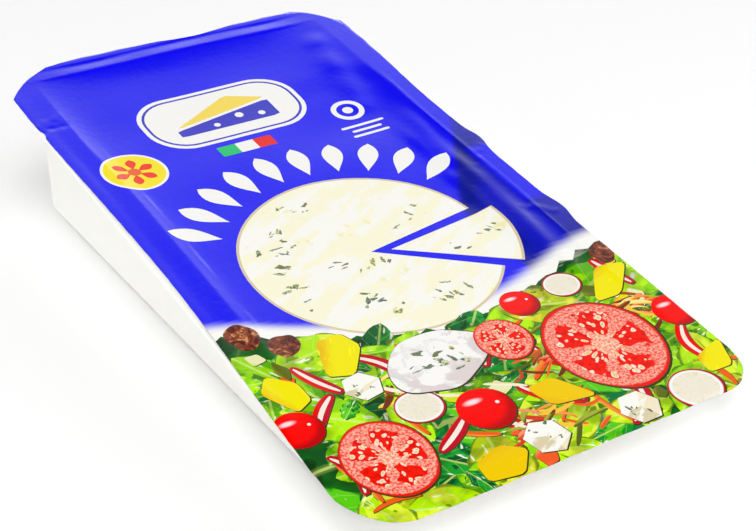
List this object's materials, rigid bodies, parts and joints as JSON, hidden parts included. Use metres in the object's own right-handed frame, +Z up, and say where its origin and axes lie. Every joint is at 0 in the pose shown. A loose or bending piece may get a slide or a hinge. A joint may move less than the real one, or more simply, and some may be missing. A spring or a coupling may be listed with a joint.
{
  "type": "wedge-shaped cheese pack",
  "caption": "Sealed wedge-shaped retail cheese pack: a moulded white tray whose sloping mouth is closed by a printed film, drawn down inside the rim.",
  "frame": {"origin": "on the floor, under the middle of the pack's bounding box", "axes": "+Z up, +Y along the pack from the thin end of the wedge to the deep end, +X across it"},
  "size_m": [0.0929, 0.1701, 0.034],
  "materials": {
    "tray_plastic": "smooth off-white thermoformed plastic with a soft sheen",
    "film_print": "glossy film printed with fields of blue, white, cream, green, yellow and red"
  },
  "bodies": {
    "root": {"tray": "tray_plastic", "lid_film": "film_print"}
  },
  "joints": []
}
